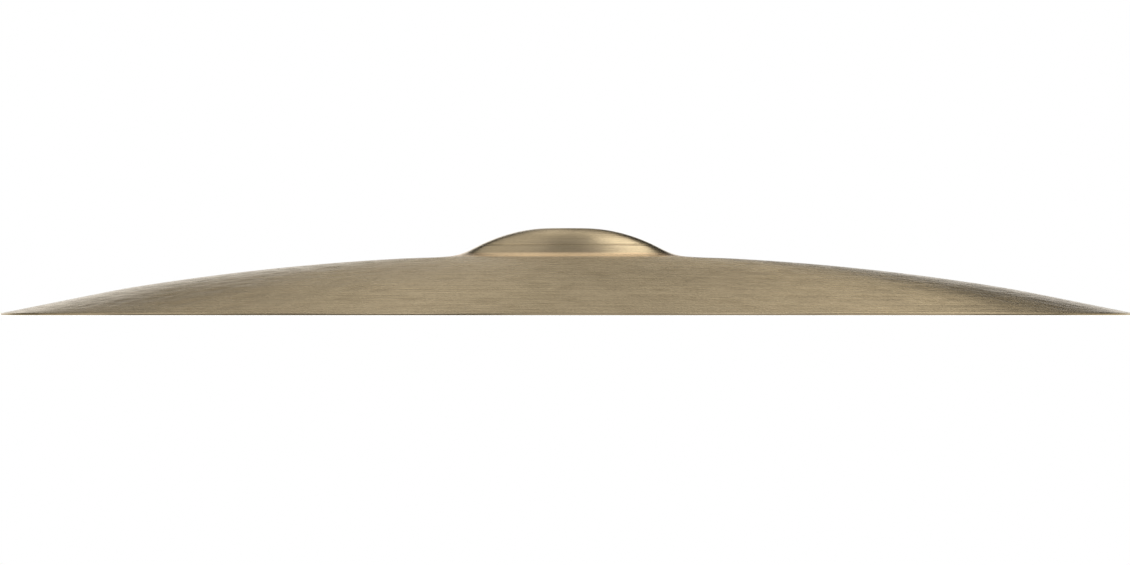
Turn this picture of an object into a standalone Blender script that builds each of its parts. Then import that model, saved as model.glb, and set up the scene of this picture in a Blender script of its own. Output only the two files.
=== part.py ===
"""A 22 inch ride cymbal: one disc of bell bronze, hammered, lathed and turned to a tapered shell.

The model stands on its rim in metres, +Z up, with its origin at the centre of the rim plane.
Its section is a closed outline of the struck face, the cut rim, the underside and the hole,
turned once about Z. A slope here is the fall of a face for each metre of radius.
"""

import math
from typing import NamedTuple

import bpy

# Plan of the disc, across its centre
CYMBAL_DIAMETER = 0.5588
BELL_DIAMETER = 0.120
CROWN_LAND_DIAMETER = 0.017
HOLE_DIAMETER = 0.0127

# Heights of the struck face: the bell's foot above the rim plane, and the crown above the foot
BOW_HEIGHT = 0.0290
BELL_HEIGHT = 0.0140

# The bell's foot, where the dome runs out onto the bow
FOOT_FILLET_WIDTH = 0.0130
FOOT_SLOPE = 0.035

# The margin, a straight cone that falls to the rim, and the soft turn that leads into it
MARGIN_WIDTH = 0.0540
MARGIN_SLOPE = 0.200
MARGIN_TURN_WIDTH = 0.0120

# The metal's thickness, even over the crown's land and tapering evenly from each place to the next
CROWN_THICKNESS = 0.0017
FOOT_THICKNESS = 0.0015
RIM_THICKNESS = 0.00115

# The dressed rim: its upper round, and the flat underneath that meets what it stands on
RIM_ROUND = 0.00045
RIM_FLAT_WIDTH = 0.0006
RIM_CHAMFER = 0.0002
HOLE_CHAMFER = 0.0003

# Facets of the turned shape
TURN_STEPS = 96
DOME_STEPS = 7
FILLET_STEPS = 4
BOW_STEPS = 7
MARGIN_TURN_STEPS = 2
RIM_ROUND_STEPS = 3

BRONZE_COLOUR = (0.56, 0.44, 0.27, 1.0)
BRONZE_ROUGHNESS = 0.32
MERGE_DISTANCE = 0.00001


class Station(NamedTuple):
    """A point on the struck face, with the slope that the face has there."""

    radius: float
    height: float
    slope: float


def fall(start, end_radius, end_slope, steps):
    """Stations from start out to end_radius, with the slope changing evenly on the way."""
    width = end_radius - start.radius
    stations = []
    for step in range(1, steps + 1):
        part = step / steps
        slope = start.slope + (end_slope - start.slope) * part
        drop = width * part * (start.slope + slope) / 2
        stations.append(Station(start.radius + width * part, start.height - drop, slope))
    return stations


def rim_height():
    """Height of the struck face at the rim, which sets the rim's flat at zero."""
    wall = RIM_THICKNESS * math.hypot(1, MARGIN_SLOPE)
    return wall - RIM_FLAT_WIDTH * MARGIN_SLOPE


def struck_face():
    """Stations of the struck face, from the hole's edge out to the rim."""
    hole = HOLE_DIAMETER / 2 + HOLE_CHAMFER
    land = CROWN_LAND_DIAMETER / 2
    foot = BELL_DIAMETER / 2
    flank = foot - FOOT_FILLET_WIDTH
    rim = CYMBAL_DIAMETER / 2
    margin = rim - MARGIN_WIDTH
    turn = margin - MARGIN_TURN_WIDTH

    # The flank's slope follows from the bell's height and the width that it falls over
    flank_slope = (2 * BELL_HEIGHT - FOOT_SLOPE * FOOT_FILLET_WIDTH) / (foot - land)
    crown = BOW_HEIGHT + BELL_HEIGHT
    stations = [Station(hole, crown, 0.0), Station(land, crown, 0.0)]
    stations += fall(stations[-1], flank, flank_slope, DOME_STEPS)
    stations += fall(stations[-1], foot, FOOT_SLOPE, FILLET_STEPS)

    # The bow's last slope follows from the height that is left to fall before the margin
    cone_fall = MARGIN_WIDTH * MARGIN_SLOPE
    left = BOW_HEIGHT - rim_height() - cone_fall
    bow_width, turn_width = turn - foot, margin - turn
    bow_slope = (2 * left - FOOT_SLOPE * bow_width - MARGIN_SLOPE * turn_width) / (bow_width + turn_width)
    stations += fall(stations[-1], turn, bow_slope, BOW_STEPS)
    stations += fall(stations[-1], margin, MARGIN_SLOPE, MARGIN_TURN_STEPS)
    stations += fall(stations[-1], rim, MARGIN_SLOPE, 1)
    return stations


def thickness_at(radius):
    """Thickness of the metal at a radius, square to the struck face."""
    land, foot, rim = CROWN_LAND_DIAMETER / 2, BELL_DIAMETER / 2, CYMBAL_DIAMETER / 2
    if radius <= land:
        return CROWN_THICKNESS
    if radius < foot:
        part = (radius - land) / (foot - land)
        return CROWN_THICKNESS + (FOOT_THICKNESS - CROWN_THICKNESS) * part
    part = (radius - foot) / (rim - foot)
    return FOOT_THICKNESS + (RIM_THICKNESS - FOOT_THICKNESS) * part


def underside_below(station):
    """The underside's point that lies square under a station of the struck face."""
    reach = thickness_at(station.radius) / math.hypot(1, station.slope)
    return station.radius - reach * station.slope, station.height - reach


def rim_section(face_end):
    """Outline of the rim, from its upper round down its edge to the inner side of its flat."""
    tilt = math.atan(MARGIN_SLOPE)
    turned = math.pi / 2 - tilt
    setback = RIM_ROUND * math.tan(turned / 2)
    centre_radius = face_end.radius - RIM_ROUND
    centre_height = face_end.height - setback
    points = []
    for step in range(RIM_ROUND_STEPS + 1):
        angle = math.pi / 2 - tilt - turned * step / RIM_ROUND_STEPS
        points.append((
            centre_radius + RIM_ROUND * math.cos(angle),
            centre_height + RIM_ROUND * math.sin(angle),
        ))
    points.append((face_end.radius, RIM_CHAMFER))
    points.append((face_end.radius - RIM_CHAMFER, 0.0))
    points.append((face_end.radius - RIM_FLAT_WIDTH, 0.0))
    return points


def section():
    """The whole closed outline, down the struck face and back in along the underside."""
    face = struck_face()
    outline = [(station.radius, station.height) for station in face[:-1]]
    outline += rim_section(face[-1])
    outline += [underside_below(station) for station in reversed(face[:-1])]
    bore = HOLE_DIAMETER / 2
    outline.append((bore, outline[-1][1] + HOLE_CHAMFER))
    outline.append((bore, outline[0][1] - HOLE_CHAMFER))
    return outline


def bronze():
    """Bell bronze, as lathed."""
    material = bpy.data.materials.new("bell_bronze")
    material.use_nodes = True
    shader = material.node_tree.nodes["Principled BSDF"]
    shader.inputs["Base Color"].default_value = BRONZE_COLOUR
    shader.inputs["Metallic"].default_value = 1.0
    shader.inputs["Roughness"].default_value = BRONZE_ROUGHNESS
    material.diffuse_color = BRONZE_COLOUR
    return material


def turned(name, outline, material, collection):
    """A solid of revolution about Z, from a closed outline in the XZ plane."""
    points = [(radius, 0.0, height) for radius, height in outline]
    edges = [(index, (index + 1) % len(points)) for index in range(len(points))]
    mesh = bpy.data.meshes.new(name)
    mesh.from_pydata(points, edges, [])
    mesh.materials.append(material)
    solid = bpy.data.objects.new(name, mesh)
    collection.objects.link(solid)

    screw = solid.modifiers.new("turn", "SCREW")
    screw.axis = "Z"
    screw.angle = math.tau
    screw.steps = TURN_STEPS
    screw.render_steps = TURN_STEPS
    screw.use_merge_vertices = True
    screw.merge_threshold = MERGE_DISTANCE
    screw.use_smooth_shade = True
    return solid


def main():
    """Clear the scene and make the cymbal."""
    for old in list(bpy.data.objects):
        bpy.data.objects.remove(old, do_unlink=True)
    collection = bpy.data.collections.new("ride_cymbal")
    bpy.context.scene.collection.children.link(collection)
    turned("cymbal", section(), bronze(), collection)


main()
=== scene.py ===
"""A ride cymbal of bell bronze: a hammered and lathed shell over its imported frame, on a pale floor.

Lengths are in metres and +Z is up. Bearings are in degrees, from straight behind the cymbal (+Y)
round to the right (+X), and elevations are in degrees above the rim's plane.
"""

import logging
import math
import random
from collections.abc import Iterable, Mapping, Sequence
from dataclasses import dataclass, field
from enum import Enum
from typing import Any

import bpy
import numpy as np
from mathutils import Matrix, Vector


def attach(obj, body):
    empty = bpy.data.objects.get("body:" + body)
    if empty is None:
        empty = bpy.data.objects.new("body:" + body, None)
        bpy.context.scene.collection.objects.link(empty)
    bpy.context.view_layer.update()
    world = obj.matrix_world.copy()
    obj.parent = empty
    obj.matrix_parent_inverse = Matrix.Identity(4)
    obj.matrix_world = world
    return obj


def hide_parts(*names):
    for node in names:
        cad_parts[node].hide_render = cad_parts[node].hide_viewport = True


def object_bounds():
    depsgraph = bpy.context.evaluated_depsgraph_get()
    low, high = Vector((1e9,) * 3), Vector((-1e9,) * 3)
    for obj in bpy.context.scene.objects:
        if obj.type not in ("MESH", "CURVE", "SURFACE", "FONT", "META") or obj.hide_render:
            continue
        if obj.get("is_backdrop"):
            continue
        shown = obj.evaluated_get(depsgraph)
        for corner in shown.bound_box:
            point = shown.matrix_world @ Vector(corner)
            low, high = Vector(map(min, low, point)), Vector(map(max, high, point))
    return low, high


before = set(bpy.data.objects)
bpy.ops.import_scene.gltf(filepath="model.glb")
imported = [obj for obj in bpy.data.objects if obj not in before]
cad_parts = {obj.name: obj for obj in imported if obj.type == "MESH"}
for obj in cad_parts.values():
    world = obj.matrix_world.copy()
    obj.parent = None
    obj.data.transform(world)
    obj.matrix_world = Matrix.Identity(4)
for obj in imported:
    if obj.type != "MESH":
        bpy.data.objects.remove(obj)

LOG = logging.getLogger("ride_cymbal")
CAD_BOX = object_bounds()

CYMBAL_NODE = "cymbal"
CYMBAL_BODY = "root"
STRUCK_ATTRIBUTE = "struck"

# The photograph's frame, and where the cymbal lies in it, in its own pixels
PHOTO_WIDTH, PHOTO_HEIGHT = 1130, 565
AXIS_PX = 567.0
RIM_LINE_PX = 315.3
HALF_WIDTH_PX = 565.5

Point = tuple[float, float]
Colour = tuple[float, float, float]

WHITE: Colour = (1.0, 1.0, 1.0)
NOISE_MIDDLE = 0.5
HALF_TURN = 180.0


class Value:
    """A number that leaves a node's socket, with arithmetic that adds Math nodes."""

    def __init__(self, sheet: "NodeSheet", socket: bpy.types.NodeSocket) -> None:
        """Wrap a socket.

        Args:
            sheet: The node tree that the socket belongs to.
            socket: The output socket.
        """
        self.sheet = sheet
        self.socket = socket

    def maths(
        self,
        operation: str,
        *others: "Value | float",
        first: "Value | float | None" = None,
    ) -> "Value":
        """Add a Math node.

        Args:
            operation: The Math node's operation.
            others: What follows this value in the node's sockets.
            first: What comes before this value, for the reflected forms.

        Returns:
            The node's result.
        """
        values = [self, *others] if first is None else [first, self]
        return self.sheet.out("ShaderNodeMath", {"operation": operation}, dict(enumerate(values)))

    def __add__(self, other: "Value | float") -> "Value":
        """Sum."""
        return self.maths("ADD", other)

    def __sub__(self, other: "Value | float") -> "Value":
        """Difference."""
        return self.maths("SUBTRACT", other)

    def __rsub__(self, other: float) -> "Value":
        """Difference from a number."""
        return self.maths("SUBTRACT", first=other)

    def __mul__(self, other: "Value | float") -> "Value":
        """Product."""
        return self.maths("MULTIPLY", other)

    def __truediv__(self, other: "Value | float") -> "Value":
        """Quotient."""
        return self.maths("DIVIDE", other)

    def __rtruediv__(self, other: float) -> "Value":
        """Quotient of a number."""
        return self.maths("DIVIDE", first=other)

    def __pow__(self, other: float) -> "Value":
        """Power."""
        return self.maths("POWER", other)

    def __abs__(self) -> "Value":
        """Size without sign."""
        return self.maths("ABSOLUTE")

    __radd__ = __add__
    __rmul__ = __mul__

    def eased(self, low: float, high: float) -> "Value":
        """Rise smoothly from 0 to 1 as this value goes from low to high, or fall where low is above high.

        Args:
            low: Where the result is 0.
            high: Where the result is 1.

        Returns:
            The eased value, held between 0 and 1.
        """
        ends = (low, high, 0.0, 1.0) if low < high else (high, low, 1.0, 0.0)
        limits = dict(zip(("From Min", "From Max", "To Min", "To Max"), ends))
        settings = {"interpolation_type": "SMOOTHSTEP"}
        return self.sheet.out("ShaderNodeMapRange", settings, {"Value": self, **limits})


class NodeSheet:
    """A node tree that one method adds nodes to."""

    def __init__(self, tree: bpy.types.NodeTree) -> None:
        """Take an empty or a new tree.

        Args:
            tree: The node tree.
        """
        self.tree = tree
        tree.nodes.clear()

    def node(
        self,
        kind: str,
        settings: Mapping[str, Any] | None = None,
        sockets: Mapping[str | int, Any] | None = None,
    ) -> bpy.types.Node:
        """Add a node.

        Args:
            kind: The node's type.
            settings: The node's own properties, set first.
            sockets: What each input socket holds: a number, a colour, a Value or an output socket.

        Returns:
            The node.
        """
        node = self.tree.nodes.new(kind)
        for name, setting in (settings or {}).items():
            setattr(node, name, setting)
        for name, content in (sockets or {}).items():
            target = node.inputs[name]
            if isinstance(content, Value):
                content = content.socket
            if isinstance(content, bpy.types.NodeSocket):
                self.tree.links.new(content, target)
            elif isinstance(content, Sequence) and len(content) == 3 and target.type == "RGBA":
                target.default_value = (*content, 1.0)
            else:
                target.default_value = content
        return node

    def out(
        self,
        kind: str,
        settings: Mapping[str, Any] | None = None,
        sockets: Mapping[str | int, Any] | None = None,
        output: str | int = 0,
    ) -> Value:
        """Add a node and take one of its outputs.

        Args:
            kind: The node's type.
            settings: The node's own properties.
            sockets: What each input socket holds.
            output: The name or number of the output.

        Returns:
            The output.
        """
        return Value(self, self.node(kind, settings, sockets).outputs[output])

    def tinted(self, share: Value, under: Value | Colour, over: Colour) -> Value:
        """Lay one colour over another.

        Args:
            share: How much of the upper colour shows.
            under: The lower colour.
            over: The upper colour.

        Returns:
            The blended colour.
        """
        # The Mix node keeps its colours in sockets 6 and 7, and gives its colour at output 2
        return self.out("ShaderNodeMix", {"data_type": "RGBA"}, {0: share, 6: under, 7: over}, output=2)


def deselect_all() -> None:
    """Leave edit mode with nothing selected."""
    if bpy.context.object and bpy.context.object.mode != "OBJECT":
        bpy.ops.object.mode_set(mode="OBJECT")
    bpy.ops.object.select_all(action="DESELECT")


class Stretch(Enum):
    """A stretch of the shell's section, in the order in which the outline runs."""

    STRUCK = "struck face"
    RIM = "rim"
    UNDERSIDE = "underside"
    BORE = "bore"


@dataclass
class Section:
    """The shell's section, read from the frame and made finer.

    Attributes:
        node: The CAD node that is sectioned.
        rim_reach: How far in from the rim its edge, round and flat reach.
        bore_reach: How far out from the bore its chamfers reach.
        struck_pitch: Length of a step along the struck face.
        underside_pitch: Length of a step along the underside.
        on_plane: How near the XZ plane a point of the outline lies.
        decimals: Decimal places that a point is read to, so that its copies are one.
    """

    node: bpy.types.Object
    rim_reach: float = 0.0008
    bore_reach: float = 0.0002
    struck_pitch: float = 0.00235
    underside_pitch: float = 0.0037
    on_plane: float = 1e-6
    decimals: int = 6

    def outline(self) -> list[Point]:
        """Walk the node's own outline in the XZ plane.

        Returns:
            Its points as (radius, height), from the bore's top down the struck face and back.
        """
        mesh = self.node.data
        spots = {}
        for vertex in mesh.vertices:
            x, y, z = vertex.co
            if abs(y) < self.on_plane and x > 0:
                spots[vertex.index] = (round(x, self.decimals), round(z, self.decimals))
        beside: dict[Point, set[Point]] = {}
        for edge in mesh.edges:
            ends = [spots.get(index) for index in edge.vertices]
            if None not in ends and ends[0] != ends[1]:
                beside.setdefault(ends[0], set()).add(ends[1])
                beside.setdefault(ends[1], set()).add(ends[0])
        start = min(beside, key=lambda spot: (spot[0], -spot[1]))
        walk, here = [start], max(beside[start], key=lambda spot: spot[1])
        while here != start:
            walk.append(here)
            here = next(spot for spot in beside[here] if spot not in walk[1:] and spot != walk[-2])
        return walk

    def stretches(self) -> dict[Stretch, list[Point]]:
        """Sort the outline's points into its stretches.

        Returns:
            The points of each stretch, in order.
        """
        walk = self.outline()
        widest, narrowest = max(point[0] for point in walk), min(point[0] for point in walk)
        sorted_points: dict[Stretch, list[Point]] = {stretch: [] for stretch in Stretch}
        side = Stretch.STRUCK
        for point in walk:
            if point[0] > widest - self.rim_reach:
                side = Stretch.UNDERSIDE
                sorted_points[Stretch.RIM].append(point)
            elif point[0] < narrowest + self.bore_reach:
                sorted_points[Stretch.BORE].append(point)
            else:
                sorted_points[side].append(point)
        return sorted_points

    @staticmethod
    def refined(points: Sequence[Point], pitch: float) -> list[Point]:
        """Set points a pitch apart along a smooth curve through the ones given.

        Args:
            points: Points along a smooth stretch.
            pitch: The step's length.

        Returns:
            The finer row, with the same ends.
        """
        knots = np.array(points)
        along = np.concatenate([[0.0], np.cumsum(np.linalg.norm(np.diff(knots, axis=0), axis=1))])
        count = max(2, round(along[-1] / pitch)) + 1
        places = np.linspace(0.0, along[-1], count)
        spans = np.clip(np.searchsorted(along, places, side="right") - 1, 0, len(along) - 2)
        width = along[spans + 1] - along[spans]
        part = ((places - along[spans]) / width)[:, None]
        lean = np.gradient(knots, along, axis=0)
        start, end = knots[spans], knots[spans + 1]
        lean_start, lean_end = lean[spans] * width[:, None], lean[spans + 1] * width[:, None]
        row = (
            (2 * part**3 - 3 * part**2 + 1) * start
            + (part**3 - 2 * part**2 + part) * lean_start
            + (3 * part**2 - 2 * part**3) * end
            + (part**3 - part**2) * lean_end
        )
        return [tuple(map(float, point)) for point in row]

    def fine(self) -> list[Point]:
        """The closed outline with its two faces in fine steps.

        Returns:
            Its points as (radius, height).
        """
        parts = self.stretches()
        struck = self.refined([*parts[Stretch.STRUCK], parts[Stretch.RIM][0]], self.struck_pitch)
        underside = self.refined([parts[Stretch.RIM][-1], *parts[Stretch.UNDERSIDE]], self.underside_pitch)
        bore = sorted(parts[Stretch.BORE], key=lambda point: point[1])
        return [*struck, *parts[Stretch.RIM][1:-1], *underside, *bore]


@dataclass(frozen=True)
class HammerWork:
    """The hammer's marks in the bow, in rings that the lathe has since thinned.

    Attributes:
        inner: Radius of the first ring.
        outer: Radius of the last ring.
        ring_pitch: Distance between rings.
        mark_pitch: Distance between marks along a ring.
        wander: How far a mark lies off its place, as a share of its pitch.
        widths: Least and greatest radius of a mark.
        depth: Depth of the deepest mark.
        shares: Least and greatest share of that depth that a mark has.
        falloff: How steeply a mark rises from its middle, as a power.
        seed: Seed of the hand's unevenness.
    """

    inner: float = 0.072
    outer: float = 0.266
    ring_pitch: float = 0.0135
    mark_pitch: float = 0.0195
    wander: float = 0.30
    widths: Point = (0.0060, 0.0098)
    depth: float = 0.00022
    shares: Point = (0.25, 1.0)
    falloff: float = 1.5
    seed: int = 22

    def marks(self) -> Iterable[tuple[float, float, float, float]]:
        """Lay out the marks.

        Yields:
            Each mark's x, y, radius and share of the full depth.
        """
        hand = random.Random(self.seed)
        ring = self.inner
        while ring < self.outer:
            count = round(math.tau * ring / self.mark_pitch)
            start = hand.random() * math.tau
            for number in range(count):
                angle = start + (number + hand.uniform(-self.wander, self.wander)) * math.tau / count
                radius = ring + hand.uniform(-self.wander, self.wander) * self.ring_pitch
                yield (
                    radius * math.cos(angle),
                    radius * math.sin(angle),
                    hand.uniform(*self.widths),
                    hand.uniform(*self.shares),
                )
            ring += self.ring_pitch

    def weights(self, places: np.ndarray) -> np.ndarray:
        """How deep the metal is struck at each place.

        Args:
            places: Rows of x and y.

        Returns:
            A share of the full depth for each row, from 0 to 1.
        """
        struck = np.zeros(len(places))
        for x, y, radius, share in self.marks():
            near = np.flatnonzero(np.abs(places[:, 0] - x) < radius)
            off = places[near] - (x, y)
            inside = np.clip(1.0 - (off**2).sum(axis=1) / radius**2, 0.0, None)
            struck[near] = np.maximum(struck[near], share * inside**self.falloff)
        return struck

    def strike(self, piece: bpy.types.Object) -> None:
        """Sink the marks into both faces of a shell, so that it keeps its thickness.

        Args:
            piece: The shell, which is active.
        """
        mesh = piece.data
        places = np.empty(len(mesh.vertices) * 3)
        mesh.vertices.foreach_get("co", places)
        struck = self.weights(places.reshape(-1, 3)[:, :2])
        group = piece.vertex_groups.new(name=STRUCK_ATTRIBUTE)
        for index in np.flatnonzero(struck > 0.0):
            group.add([int(index)], float(struck[index]), "REPLACE")
        dents = piece.modifiers.new("hammer marks", "DISPLACE")
        dents.direction, dents.vertex_group = "Z", group.name
        dents.mid_level, dents.strength = 0.0, -self.depth
        bpy.ops.object.modifier_apply(modifier=dents.name)
        piece.vertex_groups.clear()
        mark = mesh.attributes.new(STRUCK_ATTRIBUTE, "FLOAT", "POINT")
        mark.data.foreach_set("value", struck.astype(np.float32))


class DiscPoint:
    """Where the shaded point lies on the disc, read once for all of a material's patterns.

    Attributes:
        sheet: The material's nodes.
        place: The point's place.
        radius: Its distance from the disc's axis.
        turn: The x and y of its direction from the axis, at a length of 1.
    """

    def __init__(self, sheet: NodeSheet) -> None:
        """Read the point.

        Args:
            sheet: The material's nodes.
        """
        self.sheet = sheet
        self.place = sheet.out("ShaderNodeTexCoord", output="Object")
        parts = sheet.node("ShaderNodeSeparateXYZ", sockets={0: self.place})
        x, y, _ = (Value(sheet, output) for output in parts.outputs)
        self.radius = (x * x + y * y) ** 0.5
        self.turn = (x / self.radius, y / self.radius)


@dataclass(frozen=True, kw_only=True)
class Texture:
    """A noise in the bronze that runs no way in particular, with what it does to the finish.

    Attributes:
        scale: How many cells it has to a metre.
        detail: How many finer layers it has.
        dulls: How far it dulls the metal.
        roughens: How far it roughens the metal.
        lifts: How far it lifts the surface.
        buffed: Whether the buffing of the bell has weakened it there.
    """

    scale: float = 1.0
    detail: float
    dulls: float
    roughens: float = 0.0
    lifts: float = 0.0
    buffed: bool = False

    def read_at(self, point: DiscPoint) -> Value:
        """Where the noise is read: at the point itself."""
        return point.place

    def noise(self, point: DiscPoint) -> Value:
        """Add the noise.

        Args:
            point: The shaded point.

        Returns:
            The noise, about NOISE_MIDDLE on the whole.
        """
        sockets = {"Vector": self.read_at(point), "Scale": self.scale, "Detail": self.detail}
        return point.sheet.out("ShaderNodeTexNoise", sockets=sockets)


@dataclass(frozen=True, kw_only=True)
class LatheMark(Texture):
    """A noise that the lathe has drawn out along its turn. Its scale stays at 1.

    Attributes:
        cells: How many cells it has to a radian of turn.
        pitch: Its size across the grooves.
        shift: Where it is read, so that two patterns differ.
    """

    cells: float
    pitch: float
    shift: float = 0.0

    def read_at(self, point: DiscPoint) -> Value:
        """Where the noise is read: on a circle, at a height that grows with the radius.

        Args:
            point: The shaded point.

        Returns:
            A place in the noise.
        """
        x, y = point.turn
        place = {0: x * self.cells + self.shift, 1: y * self.cells, 2: point.radius / self.pitch}
        return point.sheet.out("ShaderNodeCombineXYZ", sockets=place)


@dataclass(frozen=True)
class LathedBronze:
    """Bell bronze as the lathe leaves it: grooved in circles, toned in bands and a little tarnished.

    Attributes:
        name: The material's name.
        bright: Freshly cut metal.
        tarnished: Metal that has dulled.
        dullness: How dull the metal is where no mark or texture changes it.
        dull_range: The dullness up to which it is bright, and from which it is tarnished.
        edge_tint: The reflection's colour at a grazing angle.
        roughness: Roughness of the bow.
        grain: How far the grooves spread a highlight across themselves.
        grain_turn: A quarter turn, which lays the spread across the grooves.
        relief: Strength of the bump.
        relief_depth: Depth of the bump.
        grooves: The finest marks of the lathe.
        rings: Wider marks of its tool.
        passes: Its tool's passes, wider again.
        streaks: Short marks along the grooves.
        clouds: Wide patches of tarnish.
        specks: Fine specks of tarnish.
        struck_dulls: How far a hammer mark dulls the metal.
        bell_radius: Where the buffed bell ends.
        bell_fade: How far each way the buffing fades out there.
        bell_roughness: Roughness of the buffed bell.
        bell_share: How much of a texture is left where the buffing weakened it.
        line_radius: Radius of the line turned into the bell's flank.
        line_reach: How far from that radius the line ends, and how far it is full.
        line_dulls: How far the line dulls the metal.
        line_lifts: How far the line lifts the surface, below 0 because it is cut in.
        foot: Where the painted reflection, a warm, bright ring at the bell's foot, begins and ends.
        foot_reflection_fades: How far each way it fades where it begins and where it ends.
        foot_reflection_colour: Colour of that painted reflection.
        foot_reflection_share: How much of that colour shows.
        rim_radius: Where the cut rim begins.
        rim_shade_fade: How far the painted shade on the cut rim fades inwards.
        rim_shade_colour: Colour of the cut rim, darkened as painted shade.
        rim_shade_share: How much of that colour shows.
    """

    name: str = "lathed_bell_bronze"
    bright: Colour = (0.55, 0.452, 0.308)
    tarnished: Colour = (0.345, 0.272, 0.175)
    dullness: float = 0.31
    dull_range: Point = (-0.15, 1.1)
    edge_tint: Colour = (0.92, 0.83, 0.66)
    roughness: float = 0.25
    grain: float = 0.88
    grain_turn: float = 0.25
    relief: float = 0.4
    relief_depth: float = 0.0004
    grooves: Texture = LatheMark(cells=0.15, pitch=0.0011, detail=3.0, dulls=0.8, roughens=0.12, lifts=0.6)
    rings: Texture = LatheMark(cells=0.12, pitch=0.0034, detail=2.0, shift=11.0, dulls=0.9)
    passes: Texture = LatheMark(cells=0.10, pitch=0.0085, detail=1.0, shift=7.0, dulls=0.9, lifts=0.4)
    streaks: Texture = LatheMark(
        cells=8.0,
        pitch=0.0020,
        detail=3.0,
        shift=3.0,
        dulls=1.7,
        roughens=0.2,
        lifts=0.4,
        buffed=True,
    )
    clouds: Texture = Texture(scale=22.0, detail=4.0, dulls=0.5, roughens=0.12)
    specks: Texture = Texture(scale=900.0, detail=1.0, dulls=2.2, buffed=True)
    struck_dulls: float = 0.38
    bell_radius: float = 0.0560
    bell_fade: float = 0.006
    bell_roughness: float = 0.20
    bell_share: float = 0.25
    line_radius: float = 0.0430
    line_reach: Point = (0.0009, 0.0003)
    line_dulls: float = 0.9
    line_lifts: float = -0.8
    foot: Point = (0.0515, 0.0625)
    foot_reflection_fades: Point = (0.0015, 0.0025)
    foot_reflection_colour: Colour = (0.95, 0.70, 0.45)
    foot_reflection_share: float = 0.75
    rim_radius: float = 0.2790
    rim_shade_fade: float = 0.0003
    rim_shade_colour: Colour = (0.31, 0.25, 0.165)
    rim_shade_share: float = 0.9

    def painted_foot_reflection(self, radius: Value) -> Value:
        """The painted reflection: a warm, bright ring at the bell's foot.

        Args:
            radius: The shaded point's radius.

        Returns:
            1 within the ring and 0 away from it.
        """
        (begin, end), (begin_fade, end_fade) = self.foot, self.foot_reflection_fades
        begun = radius.eased(begin - begin_fade, begin + begin_fade)
        return begun * radius.eased(end + end_fade, end - end_fade)

    def build(self) -> bpy.types.Material:
        """Make the material.

        Returns:
            The material.
        """
        material = bpy.data.materials.new(self.name)
        material.use_nodes = True
        sheet = NodeSheet(material.node_tree)
        point = DiscPoint(sheet)
        radius = point.radius
        struck = sheet.out("ShaderNodeAttribute", {"attribute_name": STRUCK_ATTRIBUTE}, output="Fac")
        bow = radius.eased(self.bell_radius - self.bell_fade, self.bell_radius + self.bell_fade)
        unbuffed = bow * (1.0 - self.bell_share) + self.bell_share
        line = abs(radius - self.line_radius).eased(*self.line_reach)

        dull = struck * self.struck_dulls + line * self.line_dulls + self.dullness
        rough = bow * (self.roughness - self.bell_roughness) + self.bell_roughness
        height = line * self.line_lifts
        for texture in (self.grooves, self.rings, self.passes, self.streaks, self.clouds, self.specks):
            noise = texture.noise(point)
            swing = noise - NOISE_MIDDLE
            share = unbuffed if texture.buffed else 1.0
            dull = dull + swing * (share * texture.dulls)
            if texture.roughens:
                rough = rough + swing * (share * texture.roughens)
            if texture.lifts:
                height = height + noise * (share * texture.lifts)

        # Painted shade: the cut rim's colour is darkened from here outwards
        cut = radius.eased(self.rim_radius - self.rim_shade_fade, self.rim_radius)
        colour = sheet.tinted(dull.eased(*self.dull_range), self.bright, self.tarnished)
        # Painted reflection: a warm, bright ring at the bell's foot
        colour = sheet.tinted(self.painted_foot_reflection(radius) * self.foot_reflection_share, colour, self.foot_reflection_colour)
        # Painted shade on the cut rim
        colour = sheet.tinted(cut * self.rim_shade_share, colour, self.rim_shade_colour)
        bump = sheet.out(
            "ShaderNodeBump",
            sockets={"Strength": self.relief, "Distance": self.relief_depth, "Height": height},
        )
        shader = sheet.node(
            "ShaderNodeBsdfPrincipled",
            sockets={
                "Base Color": colour,
                "Metallic": 1.0,
                "Roughness": rough,
                "Specular Tint": self.edge_tint,
                "Anisotropic": self.grain,
                "Anisotropic Rotation": self.grain_turn,
                "Normal": bump,
            },
        )
        sheet.node("ShaderNodeOutputMaterial", sockets={"Surface": shader.outputs[0]})
        return material


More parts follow.
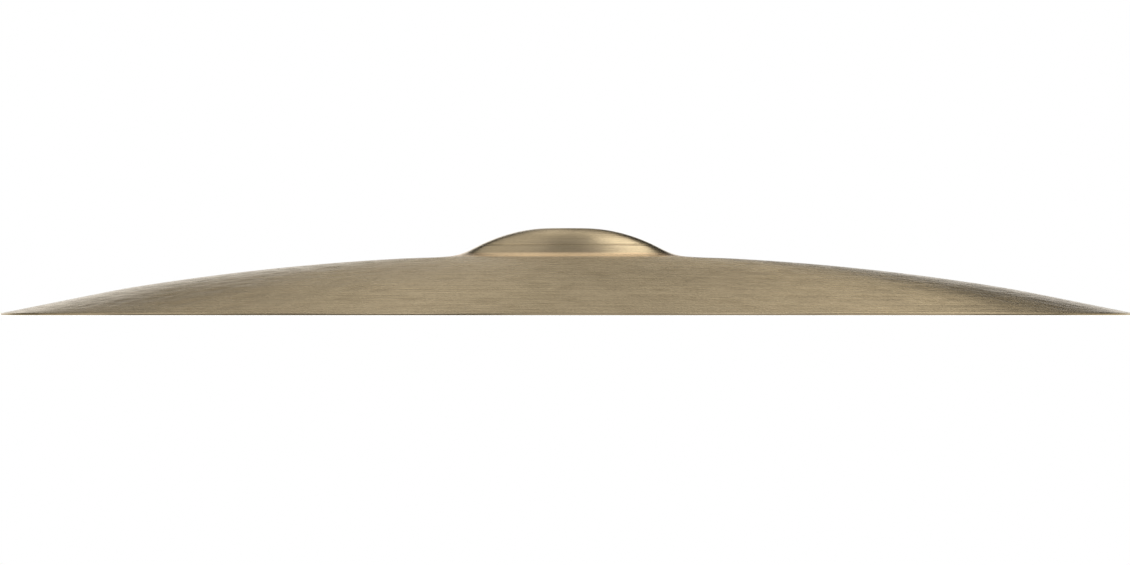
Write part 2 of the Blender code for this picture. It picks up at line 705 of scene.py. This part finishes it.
@dataclass
class CymbalShell:
    """The cymbal's own metal, turned finely from the frame's section and hammered.

    Attributes:
        name: The piece's name.
        facets: Steps of the full turn.
        weld: How near two points are made one where the turn closes.
        crease_angle: The bend, in degrees, from which an edge is shaded sharp.
        hammering: The marks in the bow.
        finish: The bronze.
    """

    name: str = "cymbal_shell"
    facets: int = 480
    weld: float = 1e-6
    crease_angle: float = 32.0
    hammering: HammerWork = field(default_factory=HammerWork)
    finish: LathedBronze = field(default_factory=LathedBronze)

    def turned(self, outline: Sequence[Point]) -> bpy.types.Object:
        """Lay a ring of points on the section and spin it about Z.

        Args:
            outline: The closed section, as (radius, height).

        Returns:
            The shell.
        """
        deselect_all()
        bpy.ops.mesh.primitive_circle_add(vertices=len(outline), fill_type="NOTHING")
        shell = bpy.context.object
        shell.name = shell.data.name = self.name
        for vertex, (radius, height) in zip(shell.data.vertices, outline):
            vertex.co = (radius, 0.0, height)
        bpy.ops.object.mode_set(mode="EDIT")
        bpy.ops.mesh.select_all(action="SELECT")
        bpy.ops.mesh.spin(
            steps=self.facets,
            angle=math.tau,
            use_auto_merge=True,
            center=(0, 0, 0),
            axis=(0, 0, 1),
        )
        bpy.ops.mesh.select_all(action="SELECT")
        bpy.ops.mesh.remove_doubles(threshold=self.weld)
        bpy.ops.mesh.normals_make_consistent(inside=False)
        bpy.ops.object.mode_set(mode="OBJECT")
        return shell

    def build(self, node: bpy.types.Object) -> bpy.types.Object:
        """Make the shell and dress it.

        Args:
            node: The CAD node that it stands for.

        Returns:
            The shell.
        """
        shell = self.turned(Section(node).fine())
        self.hammering.strike(shell)
        bpy.ops.object.shade_smooth_by_angle(angle=math.radians(self.crease_angle))
        shell.data.materials.append(self.finish.build())
        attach(shell, CYMBAL_BODY)
        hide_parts(CYMBAL_NODE)
        return shell


@dataclass(frozen=True)
class Softbox:
    """A soft patch of light on the sky.

    Attributes:
        bearing: Where its middle lies round the cymbal, in degrees.
        elevation: Where its middle lies above the rim's plane, in degrees.
        reach: Half its width and half its height, in degrees.
        edge: How far it fades beyond its reach, in degrees.
        strength: How much light it adds.
    """

    bearing: float
    elevation: float
    reach: Point
    edge: float
    strength: float


@dataclass(frozen=True)
class Studio:
    """The floor, the light and the camera.

    Attributes:
        ambient: Light from all round.
        darkest: The least light that shade leaves.
        softboxes: Soft patches of light and, where the strength is below 0, of shade.
        floor_half: Half the floor's width.
        floor_colour: The floor's paint.
        floor_glow: What the camera sees added to the paint, so that the floor is white but for its shadow.
        camera_back: How far the camera stands from the cymbal's axis.
        camera_height: The camera's height, level with the rim.
        sensor: Width of the camera's sensor, in millimetres.
        sight: How far the camera sees.
    """

    ambient: float = 0.60
    darkest: float = 0.03
    softboxes: tuple[Softbox, ...] = (
        # Light low down all round, and over it, behind the cymbal: a strip of shade with a deeper
        # patch, a narrow light, and shade again
        Softbox(0, 4, (180, 5.5), 2.5, 0.50),
        Softbox(0, 15, (62, 3.5), 2.0, -0.58),
        Softbox(7, 15, (6, 6.5), 2.0, -1.05),
        Softbox(0, 27, (3, 7), 3, 0.40),
        Softbox(0, 51, (6, 10), 5, -0.25),
        # Lamps round about, and a little light from straight above
        Softbox(78, 24, (22, 15), 6, 0.60),
        Softbox(-78, 24, (22, 15), 6, 0.60),
        Softbox(15, 34, (6, 9), 3, 1.30),
        Softbox(45, 58, (10, 16), 6, 1.60),
        Softbox(-45, 58, (10, 16), 6, 1.60),
        Softbox(135, 50, (11, 18), 6, 1.60),
        Softbox(-135, 50, (11, 18), 6, 1.60),
        Softbox(180, 30, (12, 16), 6, 0.60),
        Softbox(0, 90, (360, 14), 10, 0.20),
        # Shade and light on the horizon, which the upright cut rim shows along its length
        Softbox(75, 0, (15, 11), 4, -1.05),
        Softbox(-121, 0, (46, 11), 4, -1.05),
        Softbox(-35, 0, (9, 6), 3, -0.80),
        Softbox(116, 0, (8, 9), 4, 0.70),
    )
    floor_half: float = 2.5
    floor_colour: Colour = (0.86, 0.86, 0.86)
    floor_glow: float = 0.48
    camera_back: float = 5.0
    camera_height: float = 0.001
    sensor: float = 36.0
    sight: float = 100.0

    def light(self) -> None:
        """Paint the soft light on the world, behind a background that the camera sees as white."""
        world = bpy.data.worlds.new("studio")
        bpy.context.scene.world = world
        world.use_nodes = True
        sheet = NodeSheet(world.node_tree)
        direction = sheet.out("ShaderNodeTexCoord", output="Generated")
        parts = sheet.node("ShaderNodeSeparateXYZ", sockets={0: direction})
        x, y, z = (Value(sheet, output) for output in parts.outputs)
        bearing = x.maths("ARCTAN2", y).maths("DEGREES")
        elevation = z.maths("ARCSINE").maths("DEGREES")
        level = sheet.out("ShaderNodeValue")
        level.socket.default_value = self.ambient
        for box in self.softboxes:
            across = abs((bearing - box.bearing).maths("WRAP", HALF_TURN, -HALF_TURN))
            upward = abs(elevation - box.elevation)
            wide, high = box.reach
            patch = across.eased(wide + box.edge, wide) * upward.eased(high + box.edge, high)
            level = level + patch * box.strength
        level = level.maths("MAXIMUM", self.darkest)
        studio = sheet.node("ShaderNodeBackground", sockets={"Color": WHITE, "Strength": level})
        white = sheet.node("ShaderNodeBackground", sockets={"Color": WHITE, "Strength": 1.0})
        seen = sheet.out("ShaderNodeLightPath", output="Is Camera Ray")
        backgrounds = {1: studio.outputs[0], 2: white.outputs[0]}
        mixed = sheet.node("ShaderNodeMixShader", sockets={0: seen, **backgrounds})
        sheet.node("ShaderNodeOutputWorld", sockets={"Surface": mixed.outputs[0]})

    def floor(self) -> bpy.types.Object:
        """Lay the floor under the rim.

        Returns:
            The floor.
        """
        deselect_all()
        bpy.ops.mesh.primitive_plane_add(size=2 * self.floor_half, location=(0, 0, 0))
        floor = bpy.context.object
        floor.name = "floor"
        material = bpy.data.materials.new("pale_floor")
        material.use_nodes = True
        sheet = NodeSheet(material.node_tree)
        paint = sheet.node("ShaderNodeBsdfDiffuse", sockets={"Color": self.floor_colour})
        seen = sheet.out("ShaderNodeLightPath", output="Is Camera Ray")
        glow = sheet.node("ShaderNodeEmission", sockets={"Strength": seen * self.floor_glow})
        lit = sheet.node("ShaderNodeAddShader", sockets={0: paint.outputs[0], 1: glow.outputs[0]})
        sheet.node("ShaderNodeOutputMaterial", sockets={"Surface": lit.outputs[0]})
        floor.data.materials.append(material)
        floor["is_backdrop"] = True
        return floor

    def camera(self, half_width: float) -> bpy.types.Object:
        """Stand the camera level with the rim, at the photograph's framing.

        Args:
            half_width: The cymbal's radius.

        Returns:
            The camera.
        """
        metres_per_px = half_width / HALF_WIDTH_PX
        frame_width = PHOTO_WIDTH * metres_per_px
        aside = (PHOTO_WIDTH / 2 - AXIS_PX) * metres_per_px
        aim_height = (RIM_LINE_PX - PHOTO_HEIGHT / 2) * metres_per_px
        place = Vector((aside, -self.camera_back, self.camera_height))
        aim = Vector((aside, 0.0, aim_height))
        turn = (aim - place).to_track_quat("-Z", "Y").to_euler()
        bpy.ops.object.camera_add(location=place, rotation=turn)
        camera = bpy.context.object
        camera.data.sensor_width = self.sensor
        camera.data.lens = self.sensor * self.camera_back / frame_width
        camera.data.clip_end = self.sight
        bpy.context.scene.camera = camera
        return camera


def write_sizes() -> None:
    """Turn the CAD box and the dressed model's box into plain lists, and keep neither."""
    boxes = {"cad": CAD_BOX, "visual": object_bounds()}
    {name: [list(corner) for corner in box] for name, box in boxes.items()}


def main() -> None:
    """Build the shell and its studio, and report each piece."""
    logging.basicConfig(level=logging.INFO, format="%(message)s")
    bpy.context.scene.view_settings.view_transform = "Standard"
    studio = Studio()
    camera = studio.camera(CAD_BOX[1].x)
    place = tuple(round(coordinate, 3) for coordinate in camera.location)
    LOG.info("camera: %.0f mm lens at %s", camera.data.lens, place)
    shell = CymbalShell().build(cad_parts[CYMBAL_NODE])
    LOG.info("%s: %d faces", shell.name, len(shell.data.polygons))
    floor = studio.floor()
    LOG.info("%s: %.0f m wide", floor.name, 2 * studio.floor_half)
    studio.light()
    LOG.info("studio: %d softboxes", len(studio.softboxes))
    write_sizes()


if __name__ == "__main__":
    main()
